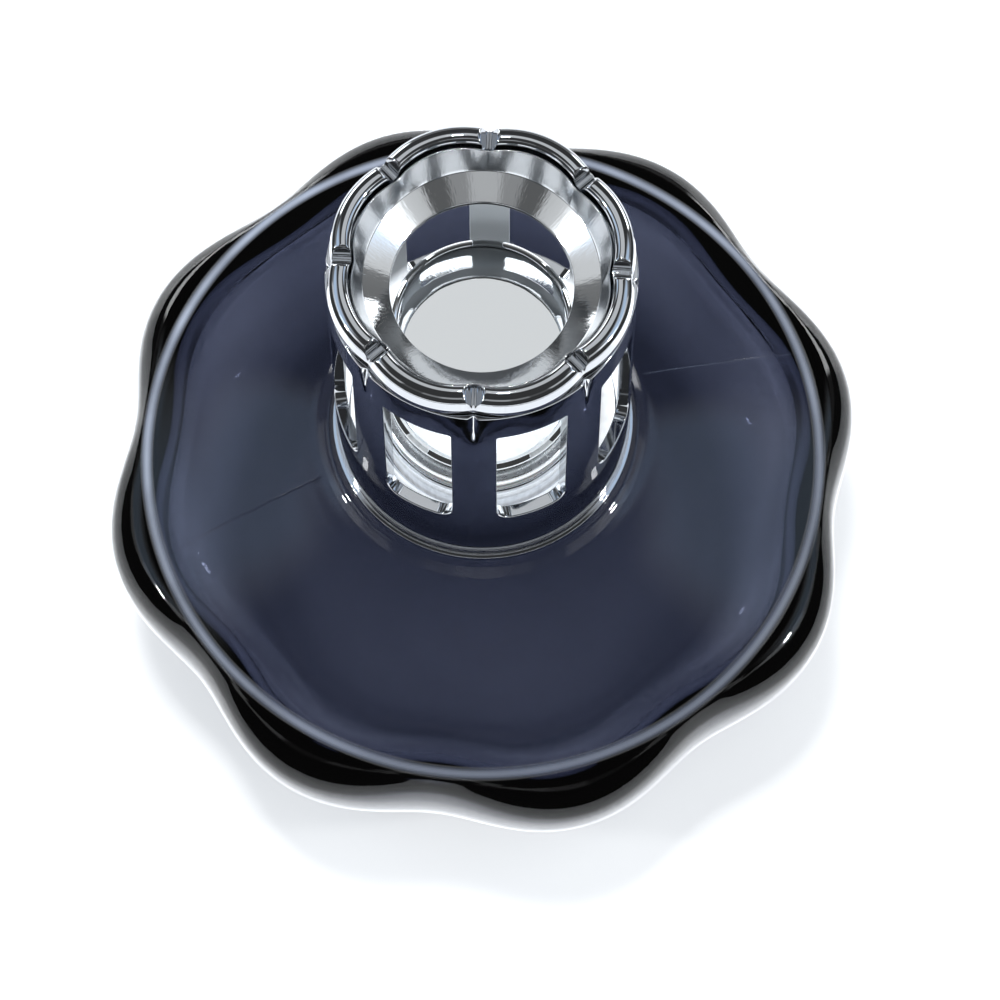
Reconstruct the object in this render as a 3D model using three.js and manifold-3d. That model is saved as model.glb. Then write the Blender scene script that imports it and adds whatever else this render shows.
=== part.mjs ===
// Catalytic fragrance lamp: an eight-lobed glass bottle, a lift-out burner with its wick,
// a snuffer cap, and a pierced crown that drops over both. Millimetres, +Z up, standing on Z = 0.

import * as THREE from 'three';
import { mergeVertices } from 'three/addons/utils/BufferGeometryUtils.js';
import Module from 'manifold-3d';

const wasm = await Module();
wasm.setup();

// ---- driving dimensions -------------------------------------------------------------

const GAP = 0.3;                // clearance between pieces that touch
const SMOOTH = 64;              // facets round the bottle and the crown
const FINE = 40;                // facets round the snuffer
const PLAIN = 32;               // facets round the small and hidden rings

const LOBES = 8;                // lobes of the bottle, and windows and notches of the crown
const LOBE_TURN = rad(18);      // direction of the first lobe from +X
const LOBE_SOFTNESS = 0.45;     // 0 gives a plain wave, 1 sharp creases between the lobes
const LOBE_DEPTH = 3.4;         // how far a lobe stands out past the valley beside it
const VALLEY_RADIUS = 46.7;     // widest level of the bottle, in a valley
const WIDEST_Z = 29;
const CREASE_RADIUS = 44.1;     // round edge between the deck and the lobed side
const CREASE_Z = 34.7;
const FOOT_RADIUS = 31.5;
const FOOT_WIDTH = 4.5;
const PUNT_DEPTH = 1.8;         // hollow under the bottle, inside the foot ring

const SEAT_Z = 46.2;            // glass shoulder that the crown stands on
const SEAT_RADIUS = 20;
const FLARE_RADIUS = 22.9;      // where the shoulder's fillet runs out into the deck
const NECK_RADIUS = 12;
const MOUTH_RADIUS = 9.4;
const MOUTH_Z = 54;
const FLOOR_Z = 8;              // inside floor of the bottle
const FLOOR_RADIUS = 27;
const HOLLOW_RADIUS = 40.6;     // widest level of the hollow, in a valley
const HOLLOW_WIDEST_Z = 27;
const HOLLOW_TOP_Z = 36;        // the hollow is round above this level
const HOLLOW_LOBE_DEPTH = 2.6;

const COLLAR_RADIUS = 13.6;     // metal collar bonded on the glass neck
const COLLAR_WALL = 1.3;
const COLLAR_FOOT_Z = 47.6;
const LIP_THICKNESS = 0.9;

const GASKET_THICKNESS = 1;
const FLANGE_RADIUS = 13.2;     // burner flange
const FLANGE_THICKNESS = 1.2;
const SPIGOT_RADIUS = 8.8;      // part of the burner that drops into the neck
const SPIGOT_FOOT_Z = 44;
const CUP_RADIUS = 8.2;         // part of the ferrule that holds the stone
const CUP_HEIGHT = 4;
const STONE_RADIUS = 6.6;
const STONE_FOOT_Z = 46;
const STONE_TOP_Z = 66;
const CATALYST_RADIUS = 5.9;
const CATALYST_BORE = 3.9;
const CORE_RADIUS = 2.1;
const SLEEVE_RADIUS = 4.2;      // metal sleeve that crimps the wick under the stone
const SLEEVE_LENGTH = 8;
const WICK_RADIUS = 2.6;
const WICK_FOOT_Z = 9.5;
const WICK_STEPS = 7;

const CAP_RADIUS = 11.6;        // snuffer shoulder
const CAP_BEAD_RADIUS = 12.2;
const CAP_BEAD_Z = 73.6;
const CAP_TOP_Z = 79;
const CAP_SHOULDER = 1.4;
const CAP_WALL = 0.9;
const CAP_CROWN_RISE = 0.3;     // how far the top of the cap is domed
const LINER_WALL = 0.9;

const CROWN_FOOT_Z = SEAT_Z + GAP;
const CROWN_TOP_Z = 97;
const SHELL_RADIUS = 18.8;      // tube of the crown
const SHELL_WALL = 1.6;
const BAND_RADIUS = 19.3;       // foot band of the crown
const BAND_HEIGHT = 3.2;
const BEZEL_RADIUS = 19.2;
const BEZEL_BORE = 16.8;
const BEZEL_HEIGHT = 3.4;
const SCALLOP_DEPTH = 0.75;     // how far the rim draws in at each notch
const SCALLOP_SOFTNESS = 0.98;
const NOTCH_WIDTH = 2.6;
const NOTCH_DEPTH = 1.9;
const WINDOW_SPAN = rad(28);    // angle that one window takes round the crown
const WINDOW_FOOT_Z = 60;
const WINDOW_TOP_Z = 87;
const WINDOW_CORNER = 2.2;
const THROAT_RADIUS = 11.15;    // opening at the bottom of the funnel
const THROAT_Z = 89.6;
const SEAM_RADIUS = 13.2;         // where the funnel's steep upper band meets its cone
const SEAM_Z = 91.1;
const FUNNEL_WALL = 0.8;
const GUIDE_BORE = 14.1;        // guide ring that centres the crown on the collar
const GUIDE_HEIGHT = 5;

// ---- helpers ------------------------------------------------------------------------

function rad(degrees) {
  return degrees * Math.PI / 180;
}

function arc(centreR, centreZ, radius, from, to, steps) {
  const points = [];
  for (let i = 0; i <= steps; i++) {
    const a = rad(from + (to - from) * i / steps);
    points.push([centreR + radius * Math.cos(a), centreZ + radius * Math.sin(a)]);
  }
  return points;
}

// Turns an outline of [radius, height] points round the Z axis. The outline runs anticlockwise
// in the radius-height plane. One that starts away from the axis is closed on itself.
function turned(outline, facets) {
  const points = outline.map(([r, z]) => new THREE.Vector2(Math.max(r, 0), z));
  if (outline[0][0] > 0) points.push(points[0].clone());
  return new THREE.LatheGeometry(points, facets).rotateX(Math.PI / 2);
}

function ring(inner, outer, foot, top, facets) {
  return turned([[inner, foot], [outer, foot], [outer, top], [inner, top]], facets);
}

function toSolid(geometry) {
  const bare = geometry.clone();
  bare.deleteAttribute('normal');
  bare.deleteAttribute('uv');
  const merged = mergeVertices(bare, 1e-4);
  return new wasm.Manifold(new wasm.Mesh({
    numProp: 3,
    vertProperties: merged.attributes.position.array,
    triVerts: new Uint32Array(merged.index.array),
  }));
}

function toGeometry(solid) {
  const mesh = solid.getMesh();
  const geometry = new THREE.BufferGeometry();
  geometry.setAttribute('position', new THREE.BufferAttribute(mesh.vertProperties, 3));
  geometry.setIndex(new THREE.BufferAttribute(mesh.triVerts, 1));
  geometry.computeVertexNormals();
  return geometry;
}

function cutAway(body, cutters) {
  let solid = toSolid(body);
  for (const cutter of cutters) solid = solid.subtract(toSolid(cutter));
  return toGeometry(solid);
}

// ---- bottle -------------------------------------------------------------------------

// 1 on the middle of a lobe, 0 in the valley beside it. At a softness of 1 each lobe's outline is
// a circle through the axis, so its radius goes with the cosine of the angle from its middle.
function lobe(angle, softness) {
  const cosine = wave => Math.cos(Math.acos(softness * wave) / LOBES);
  const valley = cosine(-1);
  return (cosine(Math.cos(LOBES * angle)) - valley) / (cosine(1) - valley);
}

// Pushes the vertices of a turned shape outwards, by an amount that depends on the level.
function lobed(geometry, softness, depthAt) {
  const position = geometry.attributes.position;
  for (let i = 0; i < position.count; i++) {
    const x = position.getX(i);
    const y = position.getY(i);
    const radius = Math.hypot(x, y);
    const depth = depthAt(radius, position.getZ(i));
    if (radius > 0 && depth > 0) {
      const scale = 1 + depth * lobe(Math.atan2(y, x), softness) / radius;
      position.setXY(i, x * scale, y * scale);
    }
  }
  return geometry;
}

function glassBottle() {
  const flare = FLARE_RADIUS - SEAT_RADIUS;
  const outside = [
    [0, PUNT_DEPTH],
    [FOOT_RADIUS - FOOT_WIDTH - 5, PUNT_DEPTH],
    [FOOT_RADIUS - FOOT_WIDTH, 0],
    [FOOT_RADIUS, 0],
    [FOOT_RADIUS + 1.8, 1],
    [37.6, 5.5],
    [41.9, 12],
    [44.8, 19],
    [46.4, 25],
    [VALLEY_RADIUS, WIDEST_Z],
    [46.2, 32],
    [45.2, 34],
    [CREASE_RADIUS, CREASE_Z],
    [CREASE_RADIUS - 1, CREASE_Z + 0.2],
    [34, 39.6],
    [27, 43],
    [FLARE_RADIUS, SEAT_Z - 1.3],
    [SEAT_RADIUS + flare / 3, SEAT_Z - 0.4],
    [SEAT_RADIUS, SEAT_Z],
    [NECK_RADIUS, SEAT_Z],
    [NECK_RADIUS, MOUTH_Z - 0.8],
    [NECK_RADIUS - 0.8, MOUTH_Z],
  ];
  const inside = [
    [MOUTH_RADIUS, MOUTH_Z],
    [MOUTH_RADIUS, SEAT_Z - 4],
    [MOUTH_RADIUS + 2.5, SEAT_Z - 6.2],
    [26, 37.4],
    [36, 33.2],
    [39.6, 30.6],
    [HOLLOW_RADIUS, HOLLOW_WIDEST_Z],
    [39.6, 20],
    [36, 13.2],
    [32, 9.6],
    [FLOOR_RADIUS, FLOOR_Z],
    [0, FLOOR_Z],
  ];
  const depthAt = (radius, z) => {
    const isOutside = radius > HOLLOW_RADIUS + 0.2 || z < FLOOR_Z - 2;
    if (isOutside && z < CREASE_Z - 0.1 && radius > FOOT_RADIUS + 1) {
      const low = Math.min(z / WIDEST_Z, 1);
      const high = Math.max((z - WIDEST_Z) / (CREASE_Z - WIDEST_Z), 0);
      return LOBE_DEPTH * Math.sin(low * Math.PI / 2) * Math.sqrt(1 - high ** 2);
    }
    const isHollowSide = !isOutside && z > FLOOR_Z + 1 && z < HOLLOW_TOP_Z && radius > FLOOR_RADIUS;
    if (!isHollowSide) return 0;
    const low = Math.min((z - FLOOR_Z) / 5, 1);
    const high = Math.min((HOLLOW_TOP_Z - z) / (HOLLOW_TOP_Z - HOLLOW_WIDEST_Z), 1);
    return HOLLOW_LOBE_DEPTH * Math.sin(low * Math.PI / 2) * high;
  };
  return lobed(turned([...outside, ...inside], SMOOTH), LOBE_SOFTNESS, depthAt).rotateZ(LOBE_TURN);
}

function neckCollar() {
  const bore = COLLAR_RADIUS - COLLAR_WALL;
  const lipFoot = MOUTH_Z + GAP;
  const top = lipFoot + LIP_THICKNESS;
  return turned([
    [bore, COLLAR_FOOT_Z],
    [COLLAR_RADIUS, COLLAR_FOOT_Z],
    [COLLAR_RADIUS, top - 0.5],
    [COLLAR_RADIUS - 0.5, top],
    [MOUTH_RADIUS, top],
    [MOUTH_RADIUS, lipFoot],
    [bore, lipFoot],
  ], PLAIN);
}

// ---- burner -------------------------------------------------------------------------

const GASKET_FOOT_Z = MOUTH_Z + GAP + LIP_THICKNESS + GAP;
const FLANGE_FOOT_Z = GASKET_FOOT_Z + GASKET_THICKNESS + GAP;
const FLANGE_TOP_Z = FLANGE_FOOT_Z + FLANGE_THICKNESS;

function burnerGasket() {
  return ring(SPIGOT_RADIUS + GAP, FLANGE_RADIUS - 0.4, GASKET_FOOT_Z,
    GASKET_FOOT_Z + GASKET_THICKNESS, PLAIN);
}

function burnerFerrule() {
  const bore = STONE_RADIUS + GAP;
  const cupTop = FLANGE_TOP_Z + CUP_HEIGHT;
  return turned([
    [bore, SPIGOT_FOOT_Z],
    [SPIGOT_RADIUS - 0.6, SPIGOT_FOOT_Z],
    [SPIGOT_RADIUS, SPIGOT_FOOT_Z + 0.8],
    [SPIGOT_RADIUS, FLANGE_FOOT_Z],
    [FLANGE_RADIUS, FLANGE_FOOT_Z],
    [FLANGE_RADIUS, FLANGE_TOP_Z],
    [CUP_RADIUS, FLANGE_TOP_Z],
    [CUP_RADIUS, cupTop - 0.5],
    [CUP_RADIUS - 0.5, cupTop],
    [bore, cupTop],
  ], PLAIN);
}

function burnerStone() {
  const grooveOut = CATALYST_RADIUS + GAP;
  const grooveIn = CATALYST_BORE - GAP;
  const coreBore = CORE_RADIUS + GAP;
  return turned([
    [0, STONE_FOOT_Z],
    [STONE_RADIUS, STONE_FOOT_Z],
    [STONE_RADIUS, STONE_TOP_Z - 0.4],
    [grooveOut, STONE_TOP_Z],
    [grooveOut, STONE_TOP_Z - 2],
    [grooveIn, STONE_TOP_Z - 2],
    [grooveIn, STONE_TOP_Z],
    [coreBore, STONE_TOP_Z],
    [coreBore, STONE_TOP_Z - 5],
    [0, STONE_TOP_Z - 5],
  ], PLAIN);
}

function catalystRing() {
  return ring(CATALYST_BORE, CATALYST_RADIUS, STONE_TOP_Z - 2 + GAP, STONE_TOP_Z + 0.3, PLAIN);
}

function burnerCore() {
  const top = STONE_TOP_Z + 0.8;
  return turned([
    [0, STONE_TOP_Z - 5 + GAP],
    [CORE_RADIUS, STONE_TOP_Z - 5 + GAP],
    [CORE_RADIUS, top - 0.6],
    [CORE_RADIUS - 0.6, top],
    [0, top],
  ], PLAIN);
}

function wickSleeve() {
  const top = STONE_FOOT_Z - GAP;
  return ring(WICK_RADIUS + GAP, SLEEVE_RADIUS, top - SLEEVE_LENGTH, top, PLAIN);
}

function wick() {
  const section = new THREE.Shape();
  const sides = 10;
  for (let i = 0; i < sides; i++) {
    const a = 2 * Math.PI * i / sides;
    const [x, y] = [WICK_RADIUS * Math.cos(a), WICK_RADIUS * Math.sin(a)];
    if (i === 0) section.moveTo(x, y);
    else section.lineTo(x, y);
  }
  section.closePath();
  const route = new THREE.LineCurve3(
    new THREE.Vector3(0, 0, STONE_FOOT_Z - GAP),
    new THREE.Vector3(0, 0, WICK_FOOT_Z),
  );
  return new THREE.ExtrudeGeometry(section, { steps: WICK_STEPS, extrudePath: route });
}

// ---- snuffer ------------------------------------------------------------------------

const SEAL_FOOT_Z = FLANGE_TOP_Z + GAP;
const SEAL_THICKNESS = 1;
const CAP_FOOT_Z = SEAL_FOOT_Z + 0.4;
const LINER_RADIUS = CAP_RADIUS - CAP_WALL - GAP;

function snufferShell() {
  const bore = CAP_RADIUS - CAP_WALL;
  const shoulderZ = CAP_TOP_Z - CAP_CROWN_RISE - CAP_SHOULDER;
  const topRadius = CAP_RADIUS - CAP_SHOULDER;
  return turned([
    [bore, CAP_FOOT_Z],
    [CAP_BEAD_RADIUS, CAP_FOOT_Z],
    [CAP_BEAD_RADIUS, CAP_FOOT_Z + 1],
    [CAP_RADIUS, CAP_FOOT_Z + 1.6],
    [CAP_RADIUS, CAP_BEAD_Z - 1.2],
    [CAP_BEAD_RADIUS, CAP_BEAD_Z - 0.6],
    [CAP_BEAD_RADIUS, CAP_BEAD_Z],
    [CAP_RADIUS, CAP_BEAD_Z + 0.6],
    ...arc(topRadius, shoulderZ, CAP_SHOULDER, 0, 90, 5),
    [topRadius / 2, CAP_TOP_Z - 0.1],
    [0, CAP_TOP_Z],
    [0, CAP_TOP_Z - CAP_WALL],
    [topRadius, CAP_TOP_Z - CAP_CROWN_RISE - CAP_WALL],
    [bore, shoulderZ],
  ], FINE);
}

function snufferLiner() {
  const foot = SEAL_FOOT_Z + SEAL_THICKNESS + GAP;
  const top = CAP_TOP_Z - CAP_CROWN_RISE - CAP_SHOULDER - GAP;
  return ring(LINER_RADIUS - LINER_WALL, LINER_RADIUS, foot, top, PLAIN);
}

function snufferSeal() {
  return ring(CUP_RADIUS + GAP + 0.4, LINER_RADIUS, SEAL_FOOT_Z,
    SEAL_FOOT_Z + SEAL_THICKNESS, PLAIN);
}

// ---- crown --------------------------------------------------------------------------

const SHELL_FOOT_Z = CROWN_FOOT_Z + BAND_HEIGHT + GAP;
const SHELL_BORE = SHELL_RADIUS - SHELL_WALL;
const BEZEL_FOOT_Z = CROWN_TOP_Z - BEZEL_HEIGHT;
const SHELL_TOP_Z = BEZEL_FOOT_Z - GAP;

function crownBand() {
  const top = CROWN_FOOT_Z + BAND_HEIGHT;
  return turned([
    [SHELL_BORE, CROWN_FOOT_Z],
    [BAND_RADIUS - 0.5, CROWN_FOOT_Z],
    [BAND_RADIUS, CROWN_FOOT_Z + 0.5],
    [BAND_RADIUS, CROWN_FOOT_Z + 1.9],
    [SHELL_RADIUS, top - 0.6],
    [SHELL_RADIUS, top],
    [SHELL_BORE, top],
  ], SMOOTH);
}

function crownGuide() {
  const foot = CROWN_FOOT_Z + GAP;
  return ring(GUIDE_BORE, SHELL_BORE - GAP, foot, foot + GUIDE_HEIGHT, PLAIN);
}

// A window's outline is drawn flat, across the tube and up it, and pushed through the wall.
function windowCutter(direction) {
  const half = SHELL_RADIUS * Math.sin(WINDOW_SPAN / 2);
  const foot = WINDOW_FOOT_Z;
  const outline = new THREE.Shape();
  outline.moveTo(-half, WINDOW_TOP_Z);
  outline.lineTo(-half, foot + WINDOW_CORNER);
  outline.absarc(-half + WINDOW_CORNER, foot + WINDOW_CORNER, WINDOW_CORNER, Math.PI, 1.5 * Math.PI);
  outline.absarc(half - WINDOW_CORNER, foot + WINDOW_CORNER, WINDOW_CORNER, -Math.PI / 2, 0);
  outline.lineTo(half, WINDOW_TOP_Z);
  outline.closePath();
  return new THREE.ExtrudeGeometry(outline, { depth: 10, bevelEnabled: false, curveSegments: 3 })
    .rotateX(Math.PI / 2)
    .translate(0, 22, 0)
    .rotateZ(direction - Math.PI / 2);
}

function crownShell() {
  const tube = ring(SHELL_BORE, SHELL_RADIUS, SHELL_FOOT_Z, SHELL_TOP_Z, SMOOTH);
  const windows = [];
  for (let i = 0; i < LOBES; i++) windows.push(windowCutter((i + 0.5) * 2 * Math.PI / LOBES));
  return cutAway(tube, windows);
}

// A notch is a V lying along a radius, deepest on its middle line.
function notchCutter(direction) {
  const half = NOTCH_WIDTH / 2;
  const rise = 1;
  const vee = new THREE.Shape();
  vee.moveTo(0, CROWN_TOP_Z - NOTCH_DEPTH);
  vee.lineTo(half, CROWN_TOP_Z);
  vee.lineTo(half, CROWN_TOP_Z + rise);
  vee.lineTo(-half, CROWN_TOP_Z + rise);
  vee.lineTo(-half, CROWN_TOP_Z);
  vee.closePath();
  return new THREE.ExtrudeGeometry(vee, { depth: 8, bevelEnabled: false })
    .rotateX(Math.PI / 2)
    .translate(0, 21, 0)
    .rotateZ(direction - Math.PI / 2);
}

function crownBezel() {
  const outer = BEZEL_RADIUS - SCALLOP_DEPTH;
  const inner = BEZEL_BORE - SCALLOP_DEPTH;
  const half = (outer - inner) / 2;
  const round = turned([
    [inner, BEZEL_FOOT_Z],
    [outer, BEZEL_FOOT_Z],
    ...arc(inner + half, CROWN_TOP_Z - half, half, 0, 180, 8),
  ], SMOOTH);
  const body = lobed(round, SCALLOP_SOFTNESS, () => SCALLOP_DEPTH).rotateZ(Math.PI / LOBES);
  const notches = [];
  for (let i = 0; i < LOBES; i++) notches.push(notchCutter(i * 2 * Math.PI / LOBES));
  return cutAway(body, notches);
}

function crownFunnel() {
  const rimRadius = BEZEL_BORE - SCALLOP_DEPTH - GAP;
  const rimZ = BEZEL_FOOT_Z + 2;
  const flangeTop = SHELL_TOP_Z - GAP;
  const flangeRadius = SHELL_BORE - GAP;
  const round = turned([
    [THROAT_RADIUS, THROAT_Z - FUNNEL_WALL],
    [SEAM_RADIUS, SEAM_Z - FUNNEL_WALL - 0.4],
    [flangeRadius, SEAM_Z - FUNNEL_WALL - 0.4],
    [flangeRadius, flangeTop],
    [rimRadius, flangeTop],
    [rimRadius, rimZ],
    [SEAM_RADIUS, SEAM_Z],
    [THROAT_RADIUS, THROAT_Z],
  ], SMOOTH);
  const isRim = (radius, z) => radius > SEAM_RADIUS && radius < flangeRadius - 1 && z > flangeTop - 0.1;
  const depthAt = (radius, z) => isRim(radius, z) ? SCALLOP_DEPTH : 0;
  return lobed(round, SCALLOP_SOFTNESS, depthAt).rotateZ(Math.PI / LOBES);
}

// ---- assembly -----------------------------------------------------------------------

const finishes = {
  glass: { color: 0x323a58, roughness: 0.03, metalness: 0 },
  chrome: { color: 0xd8dcde, roughness: 0.06, metalness: 1 },
  brass: { color: 0xc9a25a, roughness: 0.25, metalness: 1 },
  silicone: { color: 0xe6e4de, roughness: 0.6, metalness: 0 },
  stone: { color: 0xe8e2d6, roughness: 0.9, metalness: 0 },
  catalyst: { color: 0x4a4640, roughness: 0.95, metalness: 0 },
  cotton: { color: 0xf2ede0, roughness: 0.95, metalness: 0 },
  plastic: { color: 0xd9dadb, roughness: 0.4, metalness: 0 },
};

const pieces = [
  ['glass_bottle', glassBottle(), 'glass'],
  ['neck_collar', neckCollar(), 'chrome'],
  ['burner_gasket', burnerGasket(), 'silicone'],
  ['burner_ferrule', burnerFerrule(), 'chrome'],
  ['burner_stone', burnerStone(), 'stone'],
  ['catalyst_ring', catalystRing(), 'catalyst'],
  ['burner_core', burnerCore(), 'brass'],
  ['wick_sleeve', wickSleeve(), 'brass'],
  ['wick', wick(), 'cotton'],
  ['snuffer_shell', snufferShell(), 'chrome'],
  ['snuffer_liner', snufferLiner(), 'plastic'],
  ['snuffer_seal', snufferSeal(), 'silicone'],
  ['crown_band', crownBand(), 'chrome'],
  ['crown_guide', crownGuide(), 'plastic'],
  ['crown_shell', crownShell(), 'chrome'],
  ['crown_funnel', crownFunnel(), 'chrome'],
  ['crown_bezel', crownBezel(), 'chrome'],
];

const lamp = new THREE.Group();
for (const [name, geometry, finish] of pieces) {
  const mesh = new THREE.Mesh(geometry, new THREE.MeshStandardMaterial(finishes[finish]));
  mesh.name = name;
  lamp.add(mesh);
}

export default lamp;
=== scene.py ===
import math

import bmesh
import bpy
import numpy as np
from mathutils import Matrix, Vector


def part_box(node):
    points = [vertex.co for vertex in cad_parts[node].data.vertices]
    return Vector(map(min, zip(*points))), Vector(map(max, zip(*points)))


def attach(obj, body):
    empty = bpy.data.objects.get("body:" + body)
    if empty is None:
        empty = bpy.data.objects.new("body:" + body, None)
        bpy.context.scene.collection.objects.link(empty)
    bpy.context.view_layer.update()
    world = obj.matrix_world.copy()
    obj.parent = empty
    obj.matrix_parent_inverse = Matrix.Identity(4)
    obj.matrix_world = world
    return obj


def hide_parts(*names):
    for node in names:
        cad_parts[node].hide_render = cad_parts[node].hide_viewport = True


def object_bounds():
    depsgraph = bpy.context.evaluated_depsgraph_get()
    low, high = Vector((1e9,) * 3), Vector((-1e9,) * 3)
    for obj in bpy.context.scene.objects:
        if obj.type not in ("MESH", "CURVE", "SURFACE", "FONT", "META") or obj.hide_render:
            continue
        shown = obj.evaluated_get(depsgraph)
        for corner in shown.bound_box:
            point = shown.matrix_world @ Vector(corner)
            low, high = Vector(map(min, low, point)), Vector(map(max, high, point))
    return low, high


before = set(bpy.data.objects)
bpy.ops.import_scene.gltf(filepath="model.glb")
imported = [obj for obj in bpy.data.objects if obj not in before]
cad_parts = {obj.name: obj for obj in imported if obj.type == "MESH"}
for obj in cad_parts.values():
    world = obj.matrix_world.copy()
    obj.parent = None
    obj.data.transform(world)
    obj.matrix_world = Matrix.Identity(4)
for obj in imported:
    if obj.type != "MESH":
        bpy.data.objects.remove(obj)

CAD_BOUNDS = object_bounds()
MM = 0.001
TAU = 2 * math.pi


# ---- sizes, in millimetres: whole pieces are read off the frame, details are set here ----

def span(node):
    """Outer radius, foot and top of a round CAD node."""
    low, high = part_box(node)
    return (high.x - low.x) / 2 / MM, low.z / MM, high.z / MM


GAP = 0.3                     # clearance between pieces that touch
LOBES = 8
HALF_SECTOR = TAU / LOBES / 2
LOBE_TURN = math.radians(18)  # direction of the bottle's first lobe from +X
LOBE_SOFTNESS = 0.45
LOBE_DEPTH = 3.4
CREASE_Z = 34.7
WIDEST_Z = 29.0
FLOOR_Z = 8.0
HOLLOW_WIDEST, HOLLOW_TOP = 27.0, 36.0
HOLLOW_LOBE_DEPTH = 2.6

SHELL_RADIUS, SHELL_FOOT, SHELL_TOP = span("crown_shell")
SHELL_BORE = SHELL_RADIUS - 1.6
BEZEL_RADIUS, BEZEL_FOOT, CROWN_TOP = span("crown_bezel")
BEZEL_BORE = BEZEL_RADIUS - 2.3
SCALLOP = 0.75                # how far the rim draws in at each notch
FUNNEL_SEAM = 14.4, 91.77     # where the funnel's cone meets its steep upper band


# ---- mesh helpers --------------------------------------------------------------------

def new_object(name, verts, faces):
    """A mesh object from points in millimetres, with its faces turned outwards."""
    mesh = bpy.data.meshes.new(name)
    mesh.from_pydata([tuple(c * MM for c in v) for v in verts], [], faces)
    bm = bmesh.new()
    bm.from_mesh(mesh)
    bmesh.ops.remove_doubles(bm, verts=bm.verts, dist=1e-7)
    bmesh.ops.recalc_face_normals(bm, faces=bm.faces)
    bm.to_mesh(mesh)
    bm.free()
    mesh.polygons.foreach_set("use_smooth", [True] * len(mesh.polygons))
    obj = bpy.data.objects.new(name, mesh)
    bpy.context.scene.collection.objects.link(obj)
    return obj


def rounded(corners, steps=5):
    """An outline through [radius, height, fillet] corners, with each corner turned into an arc."""
    out = []
    count = len(corners)
    for i, (r, z, fillet) in enumerate(corners):
        here = Vector((r, z))
        before = Vector(corners[i - 1][:2]) - here
        after = Vector(corners[(i + 1) % count][:2]) - here
        if fillet <= 0 or before.length == 0 or after.length == 0:
            out.append((r, z))
            continue
        before.normalize()
        after.normalize()
        half = math.acos(max(-1.0, min(1.0, before.dot(after)))) / 2
        if half > math.pi / 2 - 0.01:
            out.append((r, z))
            continue
        centre = here + (before + after).normalized() * (fillet / math.sin(half))
        start = here + before * (fillet / math.tan(half)) - centre
        end = here + after * (fillet / math.tan(half)) - centre
        turn = start.angle_signed(end)
        for k in range(steps + 1):
            a = -turn * k / steps
            x = start.x * math.cos(a) - start.y * math.sin(a)
            y = start.x * math.sin(a) + start.y * math.cos(a)
            out.append((centre.x + x, centre.y + y))
    return out


def smooth_through(points, steps=8):
    """A Catmull-Rom curve through [radius, height] points."""
    pts = [np.array(p, float) for p in points]
    pts = [2 * pts[0] - pts[1], *pts, 2 * pts[-1] - pts[-2]]
    out = []
    for i in range(1, len(pts) - 2):
        a, b, c, d = pts[i - 1:i + 3]
        for k in range(steps):
            t = k / steps
            out.append(tuple(0.5 * (2 * b + (c - a) * t + (2 * a - 5 * b + 4 * c - d) * t ** 2
                                    + (3 * b - a - 3 * c + d) * t ** 3)))
    out.append(tuple(pts[-2]))
    return out


def ring_outline(bore, radius, foot, top, fillets, steps=4):
    """A ring's section. The fillets are those of its inner and outer foot, then outer and inner top."""
    places = (bore, foot), (radius, foot), (radius, top), (bore, top)
    return rounded([(*place, fillet) for place, fillet in zip(places, fillets)], steps)


def even_angles(count):
    return [TAU * i / count for i in range(count)]


def turned(name, outline, angles=None, shape=None):
    """Turns an outline round Z. shape(r, z, angle) may move each point; it returns x, y, z.
    An outline that starts on the axis ends on it too, and any other is closed on itself."""
    angles = angles or even_angles(128)
    count = len(angles)
    open_ended = outline[0][0] < 1e-9
    verts, rows = [], []
    for r, z in outline:
        if r < 1e-9:
            rows.append([len(verts)] * count)
            verts.append((0, 0, z))
            continue
        rows.append(list(range(len(verts), len(verts) + count)))
        for a in angles:
            verts.append(shape(r, z, a) if shape else (r * math.cos(a), r * math.sin(a), z))
    if not open_ended:
        rows.append(rows[0])
    faces = []
    for low, high in zip(rows, rows[1:]):
        for j in range(count):
            k = (j + 1) % count
            face = list(dict.fromkeys((low[j], low[k], high[k], high[j])))
            if len(face) > 2:
                faces.append(face)
    return new_object(name, verts, faces)


def petal(angle, softness=LOBE_SOFTNESS):
    """1 on the middle of a lobe that points along +X, 0 half way to the next one."""
    def cosine(wave):
        return math.cos(math.acos(softness * wave) / LOBES)
    return (cosine(math.cos(LOBES * angle)) - cosine(-1)) / (cosine(1) - cosine(-1))


def notch_angles(per_sector=44, crowding=0.8):
    """Angles round the crown, closer together at the notches, which lie at each eighth turn."""
    out = []
    for sector in range(LOBES):
        for i in range(per_sector):
            t = i / per_sector
            out.append(TAU / LOBES * (sector + t - crowding * math.sin(TAU * t) / TAU))
    return out


def add_bevel(obj, width, segments):
    bevel = obj.modifiers.new("bevel", "BEVEL")
    bevel.width = width * MM
    bevel.segments = segments
    bevel.limit_method = "ANGLE"
    bevel.angle_limit = math.radians(35)
    bevel.harden_normals = True


# ---- camera --------------------------------------------------------------------------

VIEW_ELEVATION = math.radians(69)
VIEW_AZIMUTH = math.radians(3)
VIEW_DISTANCE = 650 * MM
LENS = 174.1
AIM = Vector((2.2, 0, 18.1)) * MM


def make_camera():
    data = bpy.data.cameras.new("camera")
    data.lens = LENS
    data.sensor_width = 36
    data.clip_start = 0.05
    data.clip_end = 50
    camera = bpy.data.objects.new("camera", data)
    bpy.context.scene.collection.objects.link(camera)
    flat = math.cos(VIEW_ELEVATION)
    back = Vector((math.sin(VIEW_AZIMUTH) * flat, -math.cos(VIEW_AZIMUTH) * flat, math.sin(VIEW_ELEVATION)))
    camera.location = AIM + back * VIEW_DISTANCE
    camera.rotation_mode = "QUATERNION"
    camera.rotation_quaternion = (-back).to_track_quat("-Z", "Y")
    bpy.context.scene.camera = camera


# ---- materials -----------------------------------------------------------------------

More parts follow.
